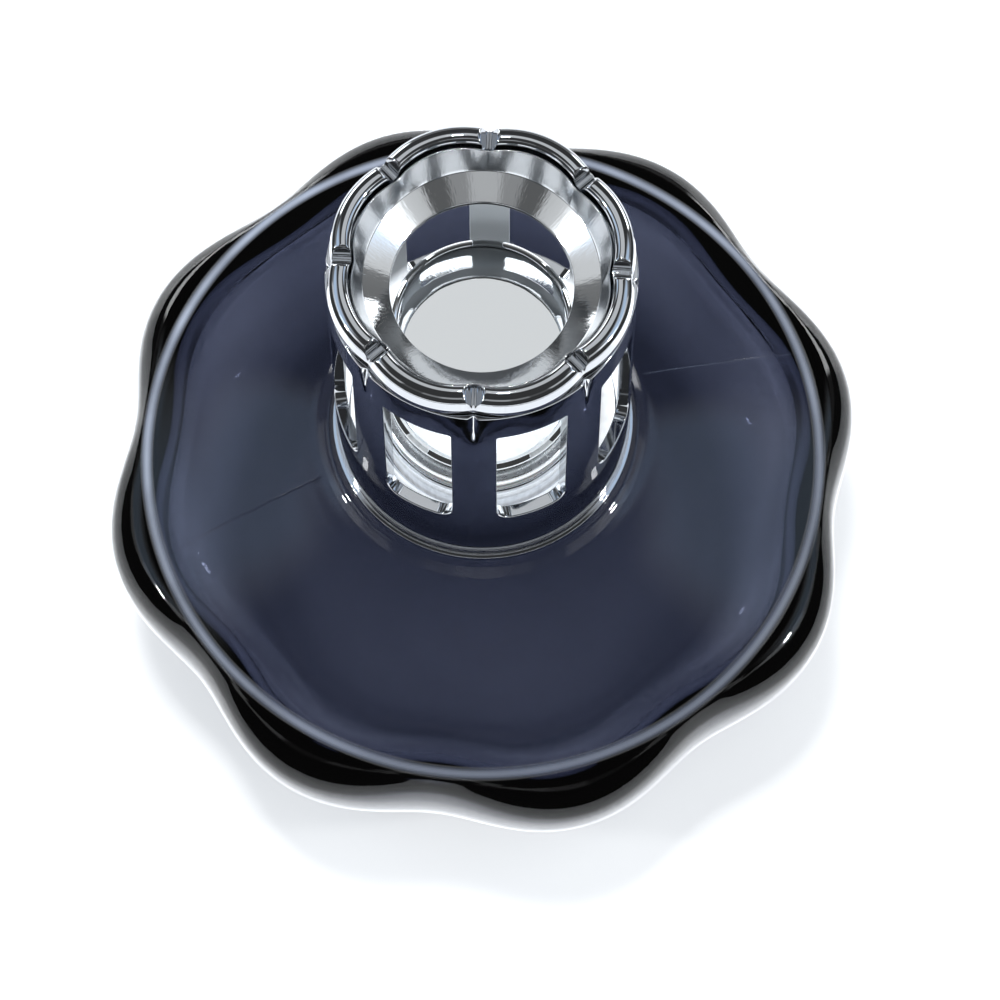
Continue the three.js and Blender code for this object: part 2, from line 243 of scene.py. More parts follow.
def new_material(name, **sockets):
    """A Principled material with its sockets set by name, underscores standing for spaces."""
    mat = bpy.data.materials.new(name)
    mat.use_nodes = True
    shader = mat.node_tree.nodes["Principled BSDF"]
    for key, value in sockets.items():
        shader.inputs[key.replace("_", " ")].default_value = value
    return mat


def node(mat, kind, **settings):
    made = mat.node_tree.nodes.new(kind)
    for key, value in settings.items():
        if key in made.inputs:
            made.inputs[key].default_value = value
        else:
            setattr(made, key, value)
    return made


def link(mat, source, target):
    mat.node_tree.links.new(source, target)


def shader_of(mat):
    return mat.node_tree.nodes["Principled BSDF"]


def coordinates(mat, stretch=(1, 1, 1)):
    """Object coordinates, stretched, which stay with the piece when it moves."""
    place = node(mat, "ShaderNodeTexCoord")
    mapping = node(mat, "ShaderNodeMapping")
    mapping.inputs["Scale"].default_value = stretch
    link(mat, place.outputs["Object"], mapping.inputs["Vector"])
    return mapping.outputs["Vector"]


def noise(mat, scale, detail=3.0, stretch=(1, 1, 1)):
    made = node(mat, "ShaderNodeTexNoise", Scale=scale, Detail=detail)
    link(mat, coordinates(mat, stretch), made.inputs["Vector"])
    return made.outputs["Fac"]


def feed(mat, value, socket):
    """Links an output to a socket, or sets the socket to a number."""
    if isinstance(value, (int, float)):
        socket.default_value = value
    else:
        link(mat, value, socket)


def maths(mat, operation, *values):
    made = node(mat, "ShaderNodeMath", operation=operation)
    for value, socket in zip(values, made.inputs):
        feed(mat, value, socket)
    return made.outputs[0]


def remap(mat, value, start, end, low=0.0, high=1.0, soft=False):
    """Maps start..end on low..high, and holds the ends outside it."""
    made = node(mat, "ShaderNodeMapRange", interpolation_type="SMOOTHSTEP" if soft else "LINEAR")
    feed(mat, value, made.inputs["Value"])
    for socket, number in (("From Min", start), ("From Max", end), ("To Min", low), ("To Max", high)):
        made.inputs[socket].default_value = number
    return made.outputs["Result"]


def spread(mat, value, low, high):
    """Maps 0.3..0.7, where noise mostly lies, on low..high."""
    return remap(mat, value, 0.3, 0.7, low, high)


def axes(mat, stretch=(1, 1, 1)):
    """The X, Y and Z of the piece's own coordinates, stretched."""
    split = node(mat, "ShaderNodeSeparateXYZ")
    link(mat, coordinates(mat, stretch), split.inputs[0])
    return split.outputs["X"], split.outputs["Y"], split.outputs["Z"]


def mixed(mat, factor, plain, other):
    """The number plain where factor is 0, and other where it is 1."""
    made = node(mat, "ShaderNodeMix")
    for value, socket in ((factor, "Factor"), (plain, "A"), (other, "B")):
        feed(mat, value, made.inputs[socket])
    return made.outputs["Result"]


def add_bump(mat, height, distance, strength=1.0):
    made = node(mat, "ShaderNodeBump", Strength=strength, Distance=distance)
    link(mat, height, made.inputs["Height"])
    link(mat, made.outputs["Normal"], shader_of(mat).inputs["Normal"])


def ramp(mat, value, stops):
    """A colour ramp through [place, colour] stops."""
    made = node(mat, "ShaderNodeValToRGB")
    elements = made.color_ramp.elements
    while len(elements) < len(stops):
        elements.new(0.5)
    for element, (place, colour) in zip(elements, stops):
        element.position = place
        element.color = (*colour, 1)
    link(mat, value, made.inputs["Fac"])
    return made.outputs["Color"]


def colours(mat, value, stops):
    link(mat, ramp(mat, value, stops), shader_of(mat).inputs["Base Color"])


def glass_material():
    mat = new_material("navy_glass", Base_Color=(1, 1, 1, 1), Roughness=0.0, IOR=1.5,
                       Transmission_Weight=1.0)
    add_bump(mat, noise(mat, 45, 1.0), 0.00012, 0.25)
    absorb = node(mat, "ShaderNodeVolumeAbsorption", Density=380.0)
    absorb.inputs["Color"].default_value = (0.19, 0.22, 0.33, 1)
    link(mat, absorb.outputs["Volume"], mat.node_tree.nodes["Material Output"].inputs["Volume"])
    frost_edge_with_painted_glint(mat)
    return mat


def frost_edge_with_painted_glint(mat):
    """Frosts the glass softly along the line where the deck meets the lobes, and paints a highlight on
    the frost: an emission that is brighter to one side of the bottle, and uneven."""
    flat = node(mat, "ShaderNodeVectorMath", operation="LENGTH")
    link(mat, coordinates(mat, (1, 1, 0)), flat.inputs[0])
    away = maths(mat, "ABSOLUTE", maths(mat, "SUBTRACT", flat.outputs["Value"], EDGE_RADIUS * MM))
    near = remap(mat, away, 0, EDGE_REACH * MM, 1, 0, soft=True)
    on_top = remap(mat, axes(mat)[2], (CREASE_Z - EDGE_RISE) * MM, CREASE_Z * MM)
    frost = maths(mat, "MULTIPLY", near, on_top)
    link(mat, remap(mat, frost, 0, 1, 1, 0.35), shader_of(mat).inputs["Transmission Weight"])
    colours(mat, frost, [(0, (1, 1, 1)), (0.25, (0.24, 0.27, 0.34))])

    # painted highlight: the frost emits, more towards one side of the bottle, as if lit from there
    x, y, _ = axes(mat, PAINTED_GLINT_SIDE)
    glow = remap(mat, maths(mat, "ADD", x, y), -0.9, 0.9, 0, 0.34)
    uneven_painted_glint = maths(mat, "MULTIPLY", glow, spread(mat, noise(mat, 70), 0.3, 1.5))
    shader_of(mat).inputs["Emission Color"].default_value = (0.7, 0.8, 1.0, 1)
    link(mat, maths(mat, "MULTIPLY", uneven_painted_glint, frost), shader_of(mat).inputs["Emission Strength"])


def chrome_material(name="mirror_chrome", rough=(0.02, 0.06), colour=(0.62, 0.64, 0.67)):
    mat = new_material(name, Base_Color=(*colour, 1), Metallic=1.0)
    link(mat, spread(mat, noise(mat, 220), *rough), shader_of(mat).inputs["Roughness"])
    add_bump(mat, noise(mat, 380, 2.0), 0.00002, 0.25)
    return mat


def round_and_out(mat, around, outwards, upwards):
    """Coordinates that run round the Z axis, out from it and up it, each with its own scale."""
    place = node(mat, "ShaderNodeTexCoord")
    split = node(mat, "ShaderNodeSeparateXYZ")
    link(mat, place.outputs["Object"], split.inputs[0])
    flat = node(mat, "ShaderNodeCombineXYZ")
    link(mat, split.outputs["X"], flat.inputs["X"])
    link(mat, split.outputs["Y"], flat.inputs["Y"])
    radius = node(mat, "ShaderNodeVectorMath", operation="LENGTH")
    link(mat, flat.outputs[0], radius.inputs[0])
    angle = maths(mat, "ARCTAN2", split.outputs["Y"], split.outputs["X"])
    joined = node(mat, "ShaderNodeCombineXYZ")
    for source, scale, target in ((angle, around, "X"), (radius.outputs["Value"], outwards, "Y"),
                                  (split.outputs["Z"], upwards, "Z")):
        link(mat, maths(mat, "MULTIPLY", source, scale), joined.inputs[target])
    return joined.outputs[0]


def grained_chrome_material():
    """Bright plating over fine scratches that run down the funnel, satin on its upper band."""
    mat = new_material("grained_chrome", Metallic=1.0)
    upper = remap(mat, axes(mat)[2], FUNNEL_SEAM[1] * MM, (FUNNEL_SEAM[1] + 0.5) * MM)
    colours(mat, upper, [(0.0, (0.86, 0.88, 0.90)), (1.0, (0.50, 0.52, 0.54))])
    rough = maths(mat, "MULTIPLY_ADD", upper, 0.12, spread(mat, noise(mat, 500, 4.0), 0.035, 0.09))
    link(mat, rough, shader_of(mat).inputs["Roughness"])
    grain = node(mat, "ShaderNodeTexNoise", Scale=1.0, Detail=4.0)
    link(mat, round_and_out(mat, 46, 900, 900), grain.inputs["Vector"])
    add_bump(mat, grain.outputs["Fac"], 0.00003, 0.35)
    return mat


def satin_chrome_material():
    mat = new_material("satin_chrome", Base_Color=(0.93, 0.94, 0.95, 1), Metallic=1.0)
    link(mat, spread(mat, noise(mat, 900, 4.0), 0.24, 0.30), shader_of(mat).inputs["Roughness"])
    add_bump(mat, noise(mat, 3000, 2.0, (0.05, 0.05, 1)), 0.00002, 0.4)
    return mat


def inside_with_painted_glow_material():
    """The crown's inner wall: satin plating with a painted glow below the windows. There it is paler
    and emits, standing in for the light caught inside."""
    mat = new_material("crown_inside", Metallic=1.0, Roughness=0.3, Emission_Color=(0.93, 0.97, 1.0, 1))
    # painted light: below the windows the plating is paler and glows, darker above
    low = remap(mat, axes(mat)[2], WINDOW_FOOT * MM, (WINDOW_FOOT + 4) * MM, 1, 0)
    colours(mat, low, [(0.0, (0.33, 0.34, 0.35)), (1.0, (0.85, 0.86, 0.87))])
    grain = maths(mat, "MULTIPLY", low, spread(mat, noise(mat, 1500, 3.0, (1, 1, 0.2)), 0.42, 0.66))
    link(mat, grain, shader_of(mat).inputs["Emission Strength"])
    add_bump(mat, noise(mat, 3000, 2.0, (0.05, 0.05, 1)), 0.00002, 0.4)
    return mat


def brass_material():
    mat = new_material("turned_brass", Metallic=1.0)
    colours(mat, noise(mat, 260, 4.0), [(0.35, (0.62, 0.42, 0.16)), (0.65, (0.80, 0.60, 0.28))])
    link(mat, spread(mat, noise(mat, 700), 0.18, 0.36), shader_of(mat).inputs["Roughness"])
    add_bump(mat, noise(mat, 2500, 2.0, (0.03, 0.03, 1)), 0.00003, 0.5)
    return mat


def silicone_material():
    mat = new_material("silicone", Subsurface_Weight=0.25, Subsurface_Scale=0.002, Specular_IOR_Level=0.4)
    colours(mat, noise(mat, 180), [(0.3, (0.74, 0.73, 0.69)), (0.7, (0.84, 0.83, 0.80))])
    link(mat, spread(mat, noise(mat, 900), 0.42, 0.6), shader_of(mat).inputs["Roughness"])
    add_bump(mat, noise(mat, 1800), 0.00002, 0.4)
    return mat


def stone_material():
    mat = new_material("porous_stone", Specular_IOR_Level=0.2)
    colours(mat, noise(mat, 1400, 5.0), [(0.3, (0.62, 0.57, 0.48)), (0.5, (0.82, 0.78, 0.69)),
                                         (0.7, (0.90, 0.87, 0.80))])
    link(mat, spread(mat, noise(mat, 900), 0.8, 1.0), shader_of(mat).inputs["Roughness"])
    add_bump(mat, noise(mat, 2200, 6.0), 0.00018, 0.9)
    return mat


def catalyst_material():
    mat = new_material("catalyst", Specular_IOR_Level=0.25)
    colours(mat, noise(mat, 1600, 5.0), [(0.3, (0.05, 0.045, 0.04)), (0.7, (0.20, 0.18, 0.16))])
    link(mat, spread(mat, noise(mat, 1200), 0.75, 1.0), shader_of(mat).inputs["Roughness"])
    add_bump(mat, noise(mat, 2600, 6.0), 0.0002, 0.9)
    return mat


def cotton_with_painted_glow_material():
    """Cotton with a faint painted glow, an emission, so that it doesn't show as a dark patch through the
    glass.
    """
    mat = new_material("cotton", Sheen_Weight=0.35, Sheen_Roughness=0.5, Specular_IOR_Level=0.15,
                       Emission_Color=(0.60, 0.66, 0.90, 1), Emission_Strength=0.3)
    colours(mat, noise(mat, 900, 5.0), [(0.3, (0.66, 0.61, 0.50)), (0.7, (0.86, 0.82, 0.72))])
    link(mat, spread(mat, noise(mat, 800), 0.85, 1.0), shader_of(mat).inputs["Roughness"])
    add_bump(mat, noise(mat, 4200, 3.0, (1, 1, 0.3)), 0.00008, 0.7)
    return mat


def plastic_material():
    mat = new_material("moulded_plastic", Specular_IOR_Level=0.45)
    colours(mat, noise(mat, 160), [(0.3, (0.70, 0.71, 0.71)), (0.7, (0.78, 0.79, 0.79))])
    link(mat, spread(mat, noise(mat, 1500), 0.35, 0.5), shader_of(mat).inputs["Roughness"])
    add_bump(mat, noise(mat, 2600), 0.00002, 0.4)
    return mat


def floor_material():
    """A pale floor, plain to the camera. Its emission paints a bright pool of light under the bottle for
    rays that come through the glass, and a smaller one for mirrored and scattered rays. Distances are in
    metres."""
    mat = new_material("pale_floor", Specular_IOR_Level=0.5, Emission_Color=(0.93, 0.96, 1.0, 1))
    place = node(mat, "ShaderNodeTexCoord")
    reach = node(mat, "ShaderNodeVectorMath", operation="LENGTH")
    link(mat, place.outputs["Object"], reach.inputs[0])
    distance = reach.outputs["Value"]
    path = node(mat, "ShaderNodeLightPath")
    # painted pools of light: the emission rises near the bottle for rays that are not from the camera
    painted_pool_near = remap(mat, distance, 0.078, 0.095, 1.4, 0.45)
    under = remap(mat, distance, 0.11, 0.19, 1.5, 0.3)
    through = mixed(mat, path.outputs["Is Transmission Ray"], painted_pool_near, under)
    seen = mixed(mat, path.outputs["Is Camera Ray"], through, 0.5)
    link(mat, seen, shader_of(mat).inputs["Emission Strength"])
    colours(mat, noise(mat, 3), [(0.3, (0.86, 0.875, 0.885)), (0.7, (0.88, 0.892, 0.90))])
    link(mat, spread(mat, noise(mat, 40), 0.22, 0.3), shader_of(mat).inputs["Roughness"])
    return mat


# ---- bottle --------------------------------------------------------------------------

def bottle_outside():
    """The outline in a valley between lobes, from the middle of the underside up to the mouth."""
    foot = smooth_through([(0, 2.2), (10, 2.1), (20, 1.6), (24.5, 0.9), (26.6, 0.15), (27.4, 0)], 6)[:-1]
    side = smooth_through([(30.6, 0), (31.6, 0.12), (33.2, 1.0), (37.6, 5.5), (41.9, 12), (44.8, 19),
                           (46.4, 25), (46.7, 29), (46.25, 32), (45.3, 34.0), (44.85, 34.55)], 8)
    ridge = smooth_through([(44.6, 34.75), (44.35, 34.86), (44.05, 34.9), (43.7, 34.98)], 4)
    deck = smooth_through([(42.9, 35.3), (39, 37.2), (34, 39.75), (27.4, 42.8), (24.1, 44.15), (22.0, 44.95),
                           (20.8, 45.6), (20.0, 46.12), (19.4, 46.2)], 8)
    neck = rounded([(12.0, 46.2, 0.6), (12.0, 54.0, 0.8), (MOUTH_RADIUS, 54.0, 0.7),
                    (MOUTH_RADIUS, 46.2, 0)], 5)[:-1]
    return foot, side, ridge, deck, neck


def bottle_inside():
    """The outline of the bore and the hollow, from the mouth down to the middle of the floor."""
    throat = [(MOUTH_RADIUS, z) for z in (52.0, 47.5, 43.4)]
    hollow = smooth_through([(9.5, 42.6), (10.2, 41.2), (12.4, 40.1), (18, 39.0), (26, 37.1), (33, 34.5),
                             (37.6, 32.3), (39.8, 30.2), (40.6, 27), (39.8, 20.5), (37.4, 15.0),
                             (35.2, 11.6), (33.0, 9.4), (30.4, 8.3), (27, 8), (12, 8), (0, 8)], 8)
    return throat, hollow


MOUTH_RADIUS = 9.4            # bore of the neck
FOOT_EDGE = 31.5              # the lobes grow outside this radius
LOBES_END = CREASE_Z + 0.15   # and die out at this height
HOLLOW_EDGE = 20              # the hollow follows them outside this radius
DECK_START = 22               # the mould line runs down the deck from here
DECK_EDGE = 43.5              # to here
EDGE_RADIUS = 44.13           # middle of the ground line round the deck
EDGE_REACH = 0.95             # how far it fades out to either side
EDGE_RISE = 0.6               # height over which it fades in
# the painted highlight on the ground line is brighter towards this side
PAINTED_GLINT_SIDE = (-11, 19, 0)
SEAM_TURN = math.radians(22)  # the mould's two halves meet in this direction, and opposite it
SEAM_HALF = 0.10              # half the width of the mould line
SEAM_HEIGHT = 0.05


def seam_angles(per_lobe):
    """Even angles, with a few more either side of the two mould lines."""
    extra = [SEAM_TURN + side * math.pi + off
             for side in (0, 1) for off in (-0.008, -0.004, -0.002, 0, 0.002, 0.004, 0.008)]
    plain = [a for a in even_angles(LOBES * per_lobe)
             if all(abs((a - e + math.pi) % TAU - math.pi) > 0.006 for e in extra)]
    return sorted(a % TAU for a in plain + extra)


def glass_bottle(mat):
    """The lobes grow from the foot to the widest level and die out at the deck's edge. The hollow
    follows them more weakly, and the mould line stands up along the deck."""
    foot, side, ridge, deck, neck = bottle_outside()
    throat, hollow = bottle_inside()
    outline = [*foot, *side, *ridge, *deck, *neck, *throat, *hollow]
    first_inside = len(outline) - len(throat) - len(hollow)
    depths, lifts = {}, {}
    for i, (r, z) in enumerate(outline):
        if i < first_inside and r > FOOT_EDGE and z < LOBES_END:
            low = math.sin(min(z / WIDEST_Z, 1) * math.pi / 2)
            high = max((z - WIDEST_Z) / (LOBES_END - WIDEST_Z), 0)
            depths[(r, z)] = LOBE_DEPTH * low * math.sqrt(1 - high ** 2)
        elif i >= first_inside and r > HOLLOW_EDGE and FLOOR_Z < z < HOLLOW_TOP:
            low = min((z - FLOOR_Z) / 5, 1)
            high = min((HOLLOW_TOP - z) / (HOLLOW_TOP - HOLLOW_WIDEST), 1)
            depths[(r, z)] = HOLLOW_LOBE_DEPTH * math.sin(low * math.pi / 2) * high
        if DECK_START < r < DECK_EDGE and z > CREASE_Z and i < first_inside:
            lifts[(r, z)] = SEAM_HEIGHT

    def shape(r, z, angle):
        out = r + depths.get((r, z), 0) * petal(angle - LOBE_TURN)
        off = abs((angle - SEAM_TURN + math.pi / 2) % math.pi - math.pi / 2) * r
        lift = lifts.get((r, z), 0) * max(1 - off / SEAM_HALF, 0)
        return out * math.cos(angle), out * math.sin(angle), z + lift

    piece = turned("bottle_glass", outline, seam_angles(36), shape)
    return finish_piece(piece, mat, "bottle", "bottle_glass", "glass_bottle")


def finish_piece(piece, mat, body, slot, *nodes):
    """Gives a piece its material and its body, and hides the CAD nodes it stands for. The slot is not used.
    """
    piece.data.materials.clear()
    piece.data.materials.append(mat)
    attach(piece, body)
    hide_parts(*nodes)
    return piece


def neck_collar(mat):
    radius, foot, top = span("neck_collar")
    bore = radius - 1.3
    outline = rounded([(bore, foot, 0.15), (radius, foot, 0.3), (radius, foot + 1.6, 0.1),
                       (radius - 0.3, foot + 1.9, 0.1), (radius - 0.3, foot + 2.3, 0.1),
                       (radius, foot + 2.6, 0.1), (radius, top, 0.5), (MOUTH_RADIUS, top, 0.2),
                       (MOUTH_RADIUS, top - 0.9, 0.1), (bore, top - 0.9, 0.1)], 4)
    return finish_piece(turned("collar", outline), mat, "bottle", "collar_metal", "neck_collar")


# ---- burner --------------------------------------------------------------------------

def burner_gasket(mat):
    radius, foot, top = span("burner_gasket")
    outline = ring_outline(9.1, radius, foot, top, (0.2, 0.3, 0.3, 0.2))
    return finish_piece(turned("gasket", outline), mat, "burner", "gasket", "burner_gasket")


def burner_ferrule(mat):
    """A spigot that goes down into the neck, a flange over the gasket and a cup round the stone."""
    radius, foot, top = span("burner_ferrule")
    bore, spigot, cup = 6.9, 8.8, 8.2
    flange = top - 4
    outline = rounded([(bore, foot, 0.15), (spigot - 0.5, foot, 0.3), (spigot, foot + 1, 0.4),
                       (spigot, flange - 1.2, 0.1), (radius, flange - 1.2, 0.3), (radius, flange, 0.4),
                       (cup + 0.8, flange, 0.1), (cup, flange + 0.6, 0.5), (cup, top - 0.9, 0.2),
                       (cup - 0.6, top, 0.5), (bore, top, 0.3)], 4)
    return finish_piece(turned("ferrule", outline), mat, "burner", "ferrule_metal", "burner_ferrule")


def burner_stone(mat):
    """The top has a groove for the catalyst ring, and a well in the middle for the core."""
    radius, foot, top = span("burner_stone")
    groove_out, groove_in, groove_floor = 6.2, 3.6, top - 2
    well, well_floor = 2.4, top - 5
    outline = rounded([(0, foot, 0), (radius - 0.1, foot, 0.4), (radius, top - 0.9, 0.3),
                       (groove_out, top, 0.1), (groove_out, groove_floor, 0.1),
                       (groove_in, groove_floor, 0.1), (groove_in, top, 0.2),
                       (well, top, 0.2), (well, well_floor, 0.1), (0, well_floor, 0)], 4)
    return finish_piece(turned("stone", outline), mat, "burner", "stone", "burner_stone")


def catalyst_ring(mat):
    radius, foot, top = span("catalyst_ring")
    outline = ring_outline(3.9, radius, foot, top, (0.1, 0.1, 0.4, 0.4), 5)
    return finish_piece(turned("catalyst", outline), mat, "burner", "catalyst", "catalyst_ring")


def burner_core(mat):
    radius, foot, top = span("burner_core")
    outline = rounded([(0, foot, 0), (radius, foot, 0.2), (radius, top, 0.7), (0.9, top, 0.2),
                       (0.5, top - 0.5, 0.1), (0, top - 0.5, 0)], 5)
    return finish_piece(turned("core", outline, even_angles(64)), mat, "burner", "core_metal", "burner_core")


def wick_sleeve(mat):
    radius, foot, top = span("wick_sleeve")
    bore, crimp = 2.9, radius - 0.35
    outline = rounded([(bore, foot, 0.2), (radius, foot, 0.3), (radius, foot + 2.2, 0.2),
                       (crimp, foot + 2.7, 0.2), (crimp, foot + 3.6, 0.2),
                       (radius, foot + 4.1, 0.2), (radius, top, 0.3), (bore, top, 0.2)], 4)
    piece = turned("sleeve", outline, even_angles(64))
    return finish_piece(piece, mat, "burner", "sleeve_metal", "wick_sleeve")


def wick(mat):
    """Cotton braid: two sets of strands wound opposite ways over a round cord."""
    _, foot, top = span("wick")
    radius, relief, inset = 2.6, 0.22, 0.24
    rows, columns, strands, pitch = 220, 96, 6, 7.0

    def braid(z, angle):
        one = math.cos(strands * angle + TAU * z / pitch * 2)
        other = math.cos(strands * angle - TAU * z / pitch * 2)
        return relief * max(one, other)

    outline = [(0, foot + 0.3), (radius * 0.6, foot + 0.1)]
    outline += [(radius, foot + (top - foot) * i / rows) for i in range(rows + 1)]
    outline.append((0, top))

    def shape(r, z, angle):
        out = r - inset + braid(z, angle) * r / radius
        return out * math.cos(angle), out * math.sin(angle), z

    piece = turned("wick_cord", outline, even_angles(columns), shape)
    finish_piece(piece, mat, "burner", "cotton", "wick")
    return piece


# ---- snuffer -------------------------------------------------------------------------

def snuffer_shell(mat):
    """A cap whose top is a shallow dome, a mirror that the rounded shoulder runs into smoothly."""
    bead, foot, top = span("snuffer_shell")
    radius, wall, band = bead - 0.6, 0.9, top - 5.4
    bore = radius - wall
    dome_radius, dome_edge = 190, 10.2
    tilt = math.asin(dome_edge / dome_radius)
    shoulder = (radius - dome_edge) / (1 - math.sin(tilt))
    centre_z = top - dome_radius * (1 - math.cos(tilt)) - shoulder * math.cos(tilt)
    side = rounded([(bore, centre_z, 0), (bore, foot, 0.2), (bead, foot, 0.35), (bead, foot + 1.1, 0.35),
                    (radius, foot + 1.7, 0.3), (radius, band - 1.3, 0.3), (bead, band - 0.8, 0.25),
                    (bead, band, 0.25), (radius, band + 0.5, 0.2), (radius, centre_z, 0)], 6)
    steps = 14
    arc = [(90 - math.degrees(tilt)) * k / steps for k in range(1, steps + 1)]
    corner = [(radius - shoulder + shoulder * math.cos(math.radians(a)),
               centre_z + shoulder * math.sin(math.radians(a))) for a in arc]
    rings = 20
    reach = [dome_edge * (1 - k / rings) for k in range(1, rings)]
    dome = [(r, top - dome_radius + math.sqrt(dome_radius ** 2 - r ** 2)) for r in reach]
    dome.append((0, top))
    under = [(0, top - wall), (dome_edge * 0.5, top - wall - 0.1), (dome_edge - 0.4, top - wall - 0.35),
             (bore - 0.1, centre_z + 0.2)]
    piece = turned("snuffer_cap", [*under, *side, *corner, *dome], even_angles(192))
    return finish_piece(piece, mat, "snuffer", "snuffer_metal", "snuffer_shell")


def snuffer_liner(mat):
    radius, foot, top = span("snuffer_liner")
    outline = ring_outline(radius - 0.9, radius, foot, top, (0.2, 0.2, 0.4, 0.2))
    return finish_piece(turned("cap_liner", outline), mat, "snuffer", "liner", "snuffer_liner")


def snuffer_seal(mat):
    radius, foot, top = span("snuffer_seal")
    outline = ring_outline(8.9, radius, foot, top, (0.3, 0.3, 0.3, 0.3))
    return finish_piece(turned("cap_seal", outline), mat, "snuffer", "seal", "snuffer_seal")


# ---- crown ---------------------------------------------------------------------------

def crown_band(mat):
    """Foot band with two fine grooves round it and a lip that stands out at the bottom."""
    radius, foot, top = span("crown_band")
    wall, groove, depth, slope = SHELL_RADIUS + 0.12, 0.22, 0.18, 0.04
    outline = [(SHELL_BORE, foot, 0.1), (radius - 0.1, foot, 0.1), (radius, foot + 0.2, 0.08),
               (radius, foot + 0.85, 0.08), (wall, foot + 1.0, 0.05)]
    for level in (foot + 1.25, foot + 2.6):
        outline += [(wall, level, 0.04), (wall - depth, level + slope, 0.02),
                    (wall - depth, level + groove, 0.02), (wall, level + groove + slope, 0.04)]
    outline += [(wall, top, 0.1), (SHELL_BORE, top, 0.1)]
    piece = turned("foot_band", rounded(outline, 4), even_angles(192))
    return finish_piece(piece, mat, "crown", "crown_metal", "crown_band")


def crown_guide(mat):
    radius, foot, top = span("crown_guide")
    outline = ring_outline(14.1, radius, foot, top, (0.3, 0.3, 0.3, 0.5))
    return finish_piece(turned("guide_ring", outline), mat, "crown", "guide", "crown_guide")


SECTOR_HALF = HALF_SECTOR * SHELL_RADIUS              # half a sector's width, along the wall
WINDOW_HALF = 0.5 * math.radians(28) * SHELL_RADIUS   # half a window's width, along the wall
WINDOW_FOOT, WINDOW_TOP = 60.0, 87.0


def window_outline(side_steps, end_steps):
    """Points round a window, unrolled, in the order bottom, right, top, left, each side running
    from the middle of one corner to the middle of the next."""
    low, high = 2.2, 0.5
    corners = [(-WINDOW_HALF, WINDOW_FOOT, low, 225), (WINDOW_HALF, WINDOW_FOOT, low, 315),
               (WINDOW_HALF, WINDOW_TOP, high, 45), (-WINDOW_HALF, WINDOW_TOP, high, 135)]
    out = []
    for i, (x, z, fillet, mid) in enumerate(corners):
        nx, nz, next_fillet, next_mid = corners[(i + 1) % 4]
        steps = end_steps if i % 2 == 0 else side_steps
        arc_steps = steps // 4

        def on_corner(cx, cz, radius, degrees):
            sx = 1 if cx < 0 else -1
            sz = 1 if cz == WINDOW_FOOT else -1
            a = math.radians(degrees)
            return cx + sx * radius + radius * math.cos(a), cz + sz * radius + radius * math.sin(a)

        for k in range(arc_steps):
            out.append(on_corner(x, z, fillet, mid + 45 * k / arc_steps))
        start = on_corner(x, z, fillet, mid + 45)
        end = on_corner(nx, nz, next_fillet, next_mid - 45)
        straight = steps - 2 * arc_steps
        for k in range(straight):
            t = k / straight
            out.append((start[0] + (end[0] - start[0]) * t, start[1] + (end[1] - start[1]) * t))
        for k in range(arc_steps):
            out.append(on_corner(nx, nz, next_fillet, next_mid - 45 + 45 * k / arc_steps))
    return out


def sector_outline(side_steps, end_steps):
    """Points round one sector of the tube, unrolled, in the same order as window_outline."""
    corners = [(-SECTOR_HALF, SHELL_FOOT), (SECTOR_HALF, SHELL_FOOT),
               (SECTOR_HALF, SHELL_TOP), (-SECTOR_HALF, SHELL_TOP)]
    out = []
    for i, (x, z) in enumerate(corners):
        nx, nz = corners[(i + 1) % 4]
        steps = end_steps if i % 2 == 0 else side_steps
        for k in range(steps):
            out.append((x + (nx - x) * k / steps, z + (nz - z) * k / steps))
    return out


def crown_shell(mat, inside_mat):
    """The tube is eight equal sectors. Each is a mesh frame between a window and the sector's
    edge, wrapped on the outer and the inner radius, with the window's reveal between them."""
    side_steps, end_steps = 56, 24
    inner = window_outline(side_steps, end_steps)
    outer = sector_outline(side_steps, end_steps)
    fractions = (0, 0.09, 0.24, 0.45, 0.7, 0.9, 1)
    count = len(inner)
    groove_foot, groove_depth, groove_half = SHELL_TOP - 7.4, 0.5, 0.5
    verts, faces = [], []

    def wrap(u, z, radius, sector):
        if radius == SHELL_RADIUS:
            from_post = SECTOR_HALF - abs(u)
            depth = groove_depth * max((z - groove_foot) / (SHELL_TOP - groove_foot), 0)
            radius -= depth * max(1 - from_post / groove_half, 0)
        angle = u / SHELL_RADIUS + TAU / LOBES * (sector + 0.5)
        return radius * math.cos(angle), radius * math.sin(angle), z

    for sector in range(LOBES):
        for radius in (SHELL_RADIUS, SHELL_BORE):
            for f in fractions:
                for (ou, oz), (iu, iz) in zip(outer, inner):
                    verts.append(wrap(ou + (iu - ou) * f, oz + (iz - oz) * f, radius, sector))
        base = len(verts) - 2 * len(fractions) * count

        def index(layer, row, column):
            return base + (layer * len(fractions) + row) * count + column % count

        last = len(fractions) - 1
        for layer in (0, 1):
            for row in range(last):
                for c in range(count):
                    face = [index(layer, row, c), index(layer, row, c + 1),
                            index(layer, row + 1, c + 1), index(layer, row + 1, c)]
                    faces.append(face if layer == 0 else face[::-1])
        for c in range(count):
            faces.append([index(0, last, c), index(0, last, c + 1), index(1, last, c + 1), index(1, last, c)])
        ends = [*range(end_steps), *range(end_steps + side_steps, 2 * end_steps + side_steps)]
        for c in ends:
            faces.append([index(0, 0, c + 1), index(0, 0, c), index(1, 0, c), index(1, 0, c + 1)])

    piece = new_object("crown_tube", verts, faces)
    add_bevel(piece, 0.16, 3)
    finish_piece(piece, mat, "crown", "crown_metal", "crown_shell")
    piece.data.materials.append(inside_mat)
    middle = (SHELL_RADIUS + SHELL_BORE) / 2 * MM
    for face in piece.data.polygons:
        if all(math.hypot(*piece.data.vertices[v].co[:2]) < middle for v in face.vertices):
            face.material_index = 1
    return piece


